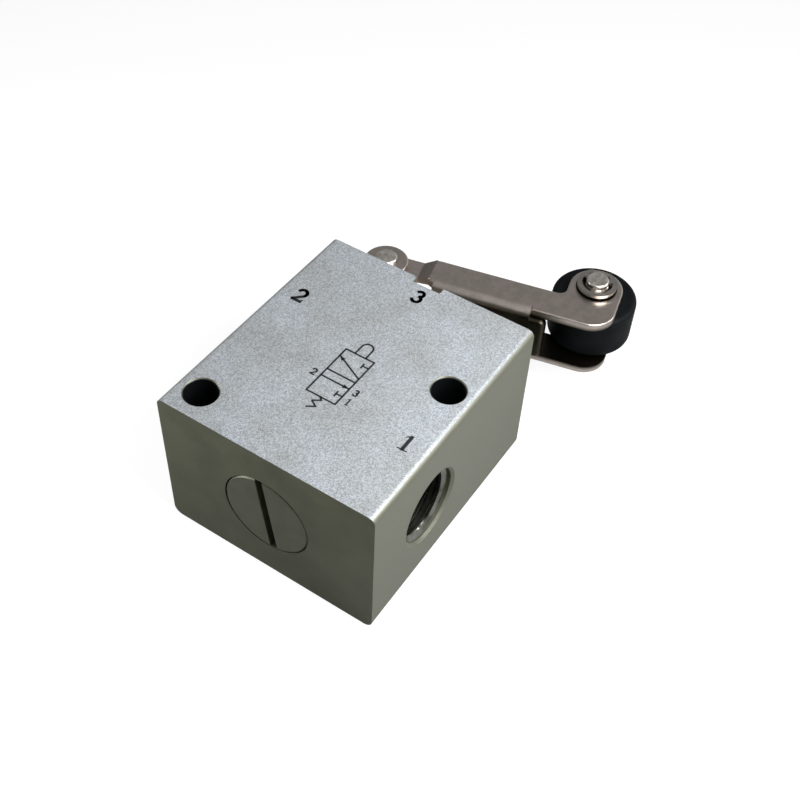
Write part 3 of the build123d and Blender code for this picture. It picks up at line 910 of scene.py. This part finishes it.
@dataclass
class BracketScrews:
    """The two screws that hold the bracket."""

    screw: ButtonScrew = field(default_factory=ButtonScrew)
    sheet: float = 1.5

    def build(self, frame: dict, wardrobe: Wardrobe) -> bpy.types.Object:
        """Make both screws as one piece, in place of the plain ones."""
        low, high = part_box("bracket_screws")
        seat = high.y / MM - self.screw.head_height
        radius = self.screw.head_diameter / 2
        both = bmesh.new()
        for x in (low.x / MM + radius, high.x / MM - radius):
            one = self.screw.mesh()
            place(one, Vector((x, seat, (low.z + high.z) / 2 / MM)), Vector((1, 0, 0)), Vector((0, 1, 0)))
            data = bpy.data.meshes.new("screw")
            one.to_mesh(data)
            both.from_mesh(data)
            one.free()
            bpy.data.meshes.remove(data)
        piece = new_piece("socket_screws", both, 50)
        wardrobe.put_on(piece, PLATED_STEEL)
        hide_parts("bracket_screws")
        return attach(piece, "block")


@dataclass
class ReturnSpring:
    """Compression spring with closed end coils."""

    wire: float = 0.8
    turns: float = 6.6
    closed_turns: float = 1.0
    steps_per_turn: int = 28
    wire_segments: int = 10

    def build(self, frame: dict, wardrobe: Wardrobe) -> bpy.types.Object:
        """Wind the spring in place of the plain one."""
        low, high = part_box("return_spring")
        length = (high.y - low.y) / MM - self.wire
        radius = (high.x - low.x) / MM / 2 - self.wire / 2
        steps = round(self.turns * self.steps_per_turn)
        mesh = bmesh.new()
        ring = bmesh.ops.create_circle(mesh, segments=self.wire_segments, radius=self.wire / 2, cap_ends=True)
        turn = Matrix.Translation((radius, 0, 0)) @ Matrix.Rotation(math.pi / 2, 4, "X")
        bmesh.ops.transform(mesh, matrix=turn, verts=ring["verts"])
        bmesh.ops.spin(
            mesh,
            geom=[*mesh.faces, *mesh.edges, *mesh.verts],
            cent=(0, 0, 0),
            axis=(0, 0, 1),
            dvec=(0, 0, length / steps),
            angle=math.tau * self.turns,
            steps=steps,
        )
        self.close_ends(mesh, length, steps)
        bmesh.ops.recalc_face_normals(mesh, faces=mesh.faces)
        middle = (low + high) / 2 / MM
        start = Vector((middle.x, low.y / MM + self.wire / 2, middle.z))
        place(mesh, start, Vector((1, 0, 0)), Vector((0, 1, 0)))
        piece = new_piece("closed_end_spring", mesh, 60)
        wardrobe.put_on(piece, SPRING_STEEL)
        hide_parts("return_spring")
        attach(piece, "block")
        slide = next(joint for joint in frame["joints"] if joint["name"] == "plunger_slide")
        keep = 1 - max(slide["range_m"]) / (high.y - low.y)
        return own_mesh(piece)

    def close_ends(self, mesh: bmesh.types.BMesh, length: float, steps: int) -> None:
        """Lay the first and last turn against their neighbours and open the turns between."""
        mesh.verts.ensure_lookup_table()
        closed = self.wire * 1.04 * self.closed_turns
        for index, vert in enumerate(mesh.verts):
            share = index // self.wire_segments / steps
            turn = share * self.turns
            if turn < self.closed_turns:
                along = closed * turn / self.closed_turns
            elif turn > self.turns - self.closed_turns:
                along = length - closed * (self.turns - turn) / self.closed_turns
            else:
                open_share = (turn - self.closed_turns) / (self.turns - 2 * self.closed_turns)
                along = closed + (length - 2 * closed) * open_share
            vert.co.z += along - share * length


@dataclass
class Camera:
    """The photograph's camera, as its angles about the valve, its focal length and its place."""

    azimuth: float = 31.0903
    elevation: float = 48.0995
    roll: float = 3.1299
    focal_pixels: float = 1177.25
    place_mm: tuple[float, float, float] = (72.045, -104.349, 161.572)
    sensor_mm: float = 36.0

    def axes(self) -> tuple[Vector, Vector, Vector]:
        """Give the camera's right, up and back directions."""
        azimuth, elevation, roll = map(math.radians, (self.azimuth, self.elevation, self.roll))
        flat = math.cos(elevation)
        back = Vector((math.sin(azimuth) * flat, -math.cos(azimuth) * flat, math.sin(elevation)))
        level_right = (-back).cross(Vector((0, 0, 1))).normalized()
        level_up = level_right.cross(-back)
        right = math.cos(roll) * level_right + math.sin(roll) * level_up
        up = math.cos(roll) * level_up - math.sin(roll) * level_right
        return right, up, back

    def build(self) -> None:
        """Make the camera and use it for the scene."""
        data = bpy.data.cameras.new("camera")
        data.sensor_width = self.sensor_mm
        data.lens = self.focal_pixels / IMAGE_PIXELS * self.sensor_mm
        data.clip_start, data.clip_end = 0.01, 20.0
        camera = bpy.data.objects.new("camera", data)
        turn = Matrix(self.axes()).transposed().to_4x4()
        camera.matrix_world = Matrix.Translation(Vector(self.place_mm) * MM) @ turn
        bpy.context.scene.collection.objects.link(camera)
        bpy.context.scene.camera = camera


@dataclass
class Softbox:
    """A square area light that looks at the valve."""

    name: str
    direction: tuple[float, float, float]
    distance: float
    size: float
    watts: float

    def build(self, target: Vector) -> None:
        """Hang the light.

        Args:
            target: The point that it looks at, in metres.
        """
        data = bpy.data.lights.new(self.name, "AREA")
        data.shape = "SQUARE"
        data.size = self.size
        data.energy = self.watts
        light = bpy.data.objects.new(self.name, data)
        out = Vector(self.direction).normalized()
        light.location = target + out * self.distance
        light.rotation_mode = "QUATERNION"
        light.rotation_quaternion = (-out).to_track_quat("-Z", "Y")
        bpy.context.scene.collection.objects.link(light)


@dataclass
class Studio:
    """A pale floor that shows white, a soft sky and softboxes.

    Polished metal sees a pale wall behind and on the right, and a dim side where the camera
    stands, as in the photograph.
    """

    floor_size: float = 6.0
    floor_glow: float = 0.84
    floor_glow_in_metal: float = 0.25
    floor_albedo: float = 0.25
    sky_light: float = 0.23
    wall_towards: tuple[float, float, float] = (0.86, 0.51, 0.0)
    pale_wall: float = 0.8
    dim_wall: float = 0.1
    ceiling: float = 0.28
    lights: tuple[Softbox, ...] = (
        Softbox("overhead", (0.05, 0.1, 1.0), 0.6, 0.5, 0.1),
        Softbox("right", (0.69, -0.1, 0.72), 0.135, 0.1, 0.3),
        Softbox("rim", (0.75, 0.54, 0.37), 0.3, 0.08, 0.2),
        Softbox("left_front", (-0.82, -0.57, 0.12), 0.15, 0.08, 0.17),
    )

    def either(
        self, tree: bpy.types.NodeTree, one: bpy.types.NodeSocket, other: bpy.types.NodeSocket
    ) -> bpy.types.NodeSocket:
        """Give the larger of two values."""
        return add_node(tree, "Math", {0: one, 1: other}, operation="MAXIMUM").outputs["Value"]

    def glow(self, tree: bpy.types.NodeTree) -> bpy.types.NodeSocket:
        """Give the floor's glow: full for the camera and glass, less in metal, none as a light."""
        path = add_node(tree, "LightPath").outputs
        seen = self.either(tree, path["Is Camera Ray"], path["Is Transmission Ray"])
        full = add_node(tree, "Math", {0: seen, 1: self.floor_glow}, operation="MULTIPLY").outputs["Value"]
        metal = {0: path["Is Glossy Ray"], 1: self.floor_glow_in_metal}
        return self.either(tree, full, add_node(tree, "Math", metal, operation="MULTIPLY").outputs["Value"])

    def floor(self) -> None:
        """Lay the floor under the valve."""
        mesh = bmesh.new()
        bmesh.ops.create_grid(mesh, x_segments=1, y_segments=1, size=self.floor_size / 2)
        data = bpy.data.meshes.new("floor")
        mesh.to_mesh(data)
        mesh.free()
        floor = bpy.data.objects.new("floor", data)
        floor.location.z = -0.00005
        bpy.context.scene.collection.objects.link(floor)
        made = bpy.data.materials.new("pale_floor")
        made.use_nodes = True
        tree = made.node_tree
        tree.nodes.clear()
        matt = add_node(tree, "BsdfDiffuse", {"Color": (self.floor_albedo,) * 3 + (1.0,)})
        light = add_node(tree, "Emission", {"Strength": self.glow(tree)})
        both = add_node(tree, "AddShader", {0: matt.outputs["BSDF"], 1: light.outputs["Emission"]})
        add_node(tree, "OutputMaterial", {"Surface": both.outputs["Shader"]})
        data.materials.append(made)
        floor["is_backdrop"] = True

    def room(self, tree: bpy.types.NodeTree) -> bpy.types.NodeSocket:
        """Give the room that metal reflects: a pale wall, a dim wall and a grey ceiling."""
        way = add_node(tree, "TexCoord").outputs["Generated"]
        inputs = {0: way, 1: self.wall_towards}
        towards = add_node(tree, "VectorMath", inputs, operation="DOT_PRODUCT").outputs["Value"]
        inputs = {"Value": towards, "From Min": -0.3, "From Max": 0.7}
        walls = {"To Min": self.dim_wall, "To Max": self.pale_wall}
        wall = add_node(tree, "MapRange", inputs | walls, interpolation_type="SMOOTHSTEP").outputs["Result"]
        up = add_node(tree, "SeparateXYZ", {"Vector": way}).outputs["Z"]
        inputs = {"Value": up, "From Min": 0.15, "From Max": 0.6}
        high = add_node(tree, "MapRange", inputs, interpolation_type="SMOOTHSTEP").outputs["Result"]
        return add_node(tree, "Mix", {"Factor": high, 2: wall, 3: self.ceiling}).outputs[0]

    def sky(self) -> None:
        """Light the scene softly from all round, and show white behind it."""
        world = bpy.data.worlds.new("studio")
        world.use_nodes = True
        tree = world.node_tree
        tree.nodes.clear()
        path = add_node(tree, "LightPath").outputs
        inputs = {"Factor": path["Is Glossy Ray"], 2: self.sky_light, 3: self.room(tree)}
        lit = add_node(tree, "Mix", inputs).outputs[0]
        white = self.either(tree, path["Is Camera Ray"], path["Is Transmission Ray"])
        strength = add_node(tree, "Mix", {"Factor": white, 2: lit, 3: 1.0}).outputs[0]
        sky = add_node(tree, "Background", {"Color": (1.0, 1.0, 1.0, 1.0), "Strength": strength})
        add_node(tree, "OutputWorld", {"Surface": sky.outputs["Background"]})
        bpy.context.scene.world = world

    def build(self) -> None:
        """Build the floor, the sky and the lights."""
        self.floor()
        self.sky()
        low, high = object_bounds()
        for light in self.lights:
            light.build((low + high) / 2)
        bpy.context.scene.view_settings.view_transform = "Standard"


def bolt_holes(frame: dict) -> tuple[tuple[float, float], ...]:
    """Give the places of the bolt holes on the front face, from the record's bore mounts."""
    bores = [mount for mount in frame["record"]["mounts"] if mount["kind"] == "bore"]
    return tuple((mount["pos_m"][0] / MM, mount["pos_m"][1] / MM) for mount in bores)


def upright_axis(node: str) -> tuple[float, float]:
    """Give the X and Y, in millimetres, of a round node that stands along Z."""
    low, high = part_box(node)
    return (low.x + high.x) / 2 / MM, (low.y + high.y) / 2 / MM


def dress_nodes(frame: dict, wardrobe: Wardrobe) -> None:
    """Put the finish of its material slot on every carried-over node.

    Args:
        frame: The loaded model.
        wardrobe: The finishes.
    """
    for part in frame["record"]["subparts"]:
        name, slot = part["node"], part["material_slot"]
        node = frame["nodes"][name]
        finish = NODE_FINISHES.get(name, Slot[slot.upper()].value)
        if isinstance(finish, BlastedAnodised):
            finish = replace(finish, bores=bolt_holes(frame))
        if isinstance(finish, ShadedSheet):
            finish = replace(finish, pin=upright_axis("roller_pin"))
        wardrobe.put_on(node, finish)
        log.info("dressed %s in %s", name, finish.name)


def main() -> None:
    """Build the scene: camera, finishes, new pieces and studio."""
    logging.basicConfig(level=logging.INFO, format="%(message)s")
    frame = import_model()
    wardrobe = Wardrobe()
    Camera().build()
    dress_nodes(frame, wardrobe)
    for piece in ValveBlock().build(frame, wardrobe):
        log.info("made %s", piece.name)
    for group in (BracketScrews(), ReturnSpring()):
        log.info("made %s", group.build(frame, wardrobe).name)
    Studio().build()


if __name__ == "__main__":
    main()
